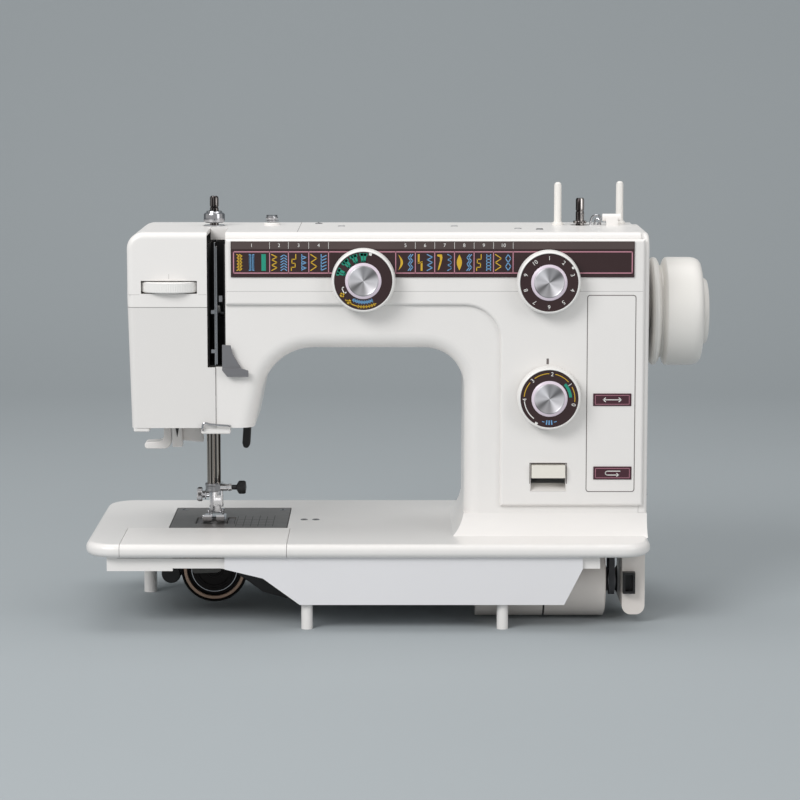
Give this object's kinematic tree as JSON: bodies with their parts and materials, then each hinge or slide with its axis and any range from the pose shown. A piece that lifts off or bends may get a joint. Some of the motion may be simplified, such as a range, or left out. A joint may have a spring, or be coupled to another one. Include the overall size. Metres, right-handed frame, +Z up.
{
  "type": "sewing machine",
  "caption": "Flat-bed mechanical zigzag sewing machine with arm, handwheel, stitch dials, needle and presser bars, oscillating hook and belt-drive motor below the bed.",
  "frame": {"origin": "on the table below the middle of the machine's bounding box", "axes": "+X along the arm towards the handwheel, +Y away from the operator, +Z up"},
  "size_m": [0.413, 0.178, 0.2869],
  "materials": {
    "white_enamel": "smooth gloss enamel on cast aluminium",
    "white_plastic": "moulded semi-gloss white plastic",
    "dial_white": "white dial rim with a dark printed face",
    "chart_brown": "dark brown printed sheet",
    "lever_cream": "cream plastic",
    "plate_steel": "ground and brushed steel",
    "chrome": "polished chrome plate",
    "black_plastic": "black plastic",
    "motor_cream": "cream enamel",
    "belt_rubber": "grey rubber",
    "shaft_steel": "turned steel with an oil film",
    "bush_bronze": "sintered bronze",
    "pulley_aluminium": "turned aluminium",
    "cam_nylon": "natural nylon"
  },
  "bodies": {
    "frame": {"bed": "white_enamel", "needle_plate": "plate_steel", "under_tray": "white_plastic", "legs": "white_enamel", "hinge_socket_left": "white_enamel", "hinge_socket_right": "white_enamel", "arm_casting": "white_enamel", "front_panel": "white_plastic", "face_cover": "white_plastic", "top_cover": "white_plastic", "end_cover": "white_plastic", "stitch_chart": "chart_brown", "tension_plate": "plate_steel", "lower_thread_guide": "plate_steel", "top_thread_guide": "chrome", "pressure_bush": "chrome", "spool_pins": "white_plastic", "winder_stop": "white_plastic", "shaft_bushes": "bush_bronze", "drive_belt": "belt_rubber", "motor_housing": "motor_cream", "motor_end_cap": "motor_cream", "terminal_box": "white_plastic", "power_inlet": "black_plastic", "hook_race": "shaft_steel", "bobbin_case": "chrome"},
    "drive_shaft": {"main_shaft": "shaft_steel", "shaft_pulley": "pulley_aluminium", "crank_disc": "shaft_steel", "handwheel": "white_plastic"},
    "clutch": {"clutch_knob": "white_plastic"},
    "motor": {"motor_rotor": "shaft_steel"},
    "cams": {"cam_stack": "cam_nylon"},
    "width_control": {"width_dial": "dial_white"},
    "selector_control": {"selector_dial": "dial_white"},
    "length_control": {"length_dial": "dial_white"},
    "reverse_control": {"reverse_lever": "lever_cream"},
    "thread_tension": {"tension_wheel": "white_plastic"},
    "hook_cover": {"shuttle_cover": "white_plastic"},
    "pressure_plunger": {"pressure_pin": "chrome"},
    "pressure_release": {"pressure_ring": "chrome"},
    "winder": {"winder_arm": "shaft_steel"},
    "winder_shaft": {"winder_spindle": "chrome"},
    "needle_frame": {"needle_bar_frame": "shaft_steel"},
    "needle_carrier": {"needle_bar": "chrome", "needle_clamp": "chrome", "needle": "chrome"},
    "take_up": {"take_up_lever": "shaft_steel"},
    "lifter": {"lifter_lever": "black_plastic"},
    "presser": {"presser_bar": "chrome", "presser_foot": "chrome", "foot_screw": "chrome"},
    "threader": {"needle_threader": "white_plastic"},
    "rock": {"rock_shaft": "shaft_steel"},
    "rod": {"connecting_rod": "shaft_steel"},
    "hook": {"shuttle": "shaft_steel", "hook_shaft": "shaft_steel"},
    "feed": {"feed_bar": "plate_steel"},
    "dog": {"feed_dog": "plate_steel"},
    "bobbin_spool": {"bobbin": "chrome"}
  },
  "joints": [
    {"name": "main_shaft_turn", "type": "hinge", "parent": "frame", "child": "drive_shaft", "pos_m": [0, 0.005, 0.2007], "axis": [1, 0, 0], "continuous": true},
    {"name": "clutch_turn", "type": "hinge", "parent": "drive_shaft", "child": "clutch", "pos_m": [0.202, 0.005, 0.2007], "axis": [1, 0, 0], "range_deg": [0, 120]},
    {"name": "motor_turn", "type": "hinge", "parent": "frame", "child": "motor", "pos_m": [0.098, -0.038, 0.025], "axis": [1, 0, 0], "continuous": true},
    {"name": "cam_turn", "type": "hinge", "parent": "frame", "child": "cams", "pos_m": [0.013, -0.028, 0.224], "axis": [1, 0, 0], "continuous": true},
    {"name": "width_turn", "type": "hinge", "parent": "frame", "child": "width_control", "pos_m": [-0.0245, -0.057, 0.2271], "axis": [0, 1, 0], "range_deg": [-60, 210]},
    {"name": "selector_turn", "type": "hinge", "parent": "frame", "child": "selector_control", "pos_m": [0.0966, -0.057, 0.226], "axis": [0, 1, 0], "continuous": true},
    {"name": "length_turn", "type": "hinge", "parent": "frame", "child": "length_control", "pos_m": [0.0973, -0.057, 0.1496], "axis": [0, 1, 0], "range_deg": [-150, 150]},
    {"name": "reverse_press", "type": "hinge", "parent": "frame", "child": "reverse_control", "pos_m": [0.0973, -0.036, 0.098], "axis": [1, 0, 0], "range_deg": [0, 20], "stiffness_Nm_per_rad": 0.05, "springref_deg": -11.46},
    {"name": "tension_turn", "type": "hinge", "parent": "frame", "child": "thread_tension", "pos_m": [-0.1521, -0.034, 0.2218], "axis": [0, 0, 1], "range_deg": [-130, 130]},
    {"name": "shuttle_cover_open", "type": "hinge", "parent": "frame", "child": "hook_cover", "pos_m": [-0.1288, -0.0855, 0.052], "axis": [1, 0, 0], "range_deg": [0, 95]},
    {"name": "pressure_push", "type": "slide", "parent": "frame", "child": "pressure_plunger", "axis": [0, 0, -1], "range_m": [0, 0.004]},
    {"name": "pressure_release_push", "type": "slide", "parent": "frame", "child": "pressure_release", "axis": [0, 0, -1], "range_m": [0, 0.0015], "stiffness_N_per_m": 200, "springref_m": -0.002},
    {"name": "winder_shift", "type": "hinge", "parent": "frame", "child": "winder", "pos_m": [0.134, 0.032, 0.247], "axis": [0, 0, 1], "range_deg": [0, 8]},
    {"name": "winder_spin", "type": "hinge", "parent": "winder", "child": "winder_shaft", "pos_m": [0.1213, 0.02, 0.26], "axis": [0, 0, 1], "continuous": true},
    {"name": "needle_swing", "type": "hinge", "parent": "frame", "child": "needle_frame", "pos_m": [-0.139, 0.006, 0.232], "axis": [0, -1, 0], "range_deg": [0, 1.6]},
    {"name": "needle_bar_stroke", "type": "slide", "parent": "needle_frame", "child": "needle_carrier", "axis": [0, 0, 1], "range_m": [-0.01, 0.018]},
    {"name": "take_up_swing", "type": "hinge", "parent": "frame", "child": "take_up", "pos_m": [-0.1185, -0.024, 0.205], "axis": [1, 0, 0], "range_deg": [-15, 25]},
    {"name": "lifter_raise", "type": "hinge", "parent": "frame", "child": "lifter", "pos_m": [-0.116, 0.053, 0.15], "axis": [0, -1, 0], "range_deg": [0, 70]},
    {"name": "presser_lift", "type": "slide", "parent": "frame", "child": "presser", "axis": [0, 0, 1], "range_m": [0, 0.0063]},
    {"name": "threader_push", "type": "slide", "parent": "frame", "child": "threader", "axis": [0, 0, -1], "range_m": [0, 0.025], "stiffness_N_per_m": 20, "springref_m": -0.01},
    {"name": "rock_turn", "type": "hinge", "parent": "frame", "child": "rock", "pos_m": [0, 0.046, 0.0275], "axis": [1, 0, 0], "range_deg": [-33, 33]},
    {"name": "rod_stroke", "type": "slide", "parent": "frame", "child": "rod", "axis": [0, 0, 1], "range_m": [-0.0073, 0.0073]},
    {"name": "hook_turn", "type": "hinge", "parent": "frame", "child": "hook", "pos_m": [-0.1262, 0, 0.0275], "axis": [0, 1, 0], "range_deg": [-98, 98]},
    {"name": "feed_stroke", "type": "slide", "parent": "frame", "child": "feed", "axis": [0, 1, 0], "range_m": [-0.0025, 0.0025]},
    {"name": "feed_lift", "type": "slide", "parent": "feed", "child": "dog", "axis": [0, 0, 1], "range_m": [-0.0012, 0.0008]},
    {"name": "bobbin_turn", "type": "hinge", "parent": "frame", "child": "bobbin_spool", "pos_m": [-0.1262, -0.0095, 0.0275], "axis": [0, 1, 0], "continuous": true}
  ],
  "couplings": [
    {"joint": "motor_turn", "follows": "main_shaft_turn", "ratio": 4.29},
    {"joint": "cam_turn", "follows": "main_shaft_turn", "ratio": 0.1},
    {"joint": "presser_lift", "follows": "lifter_raise", "m_per_rad": 0.00491},
    {"joint": "rod_stroke", "follows": "rock_turn", "m_per_rad": -0.012},
    {"joint": "hook_turn", "follows": "rock_turn", "ratio": 2.9}
  ]
}
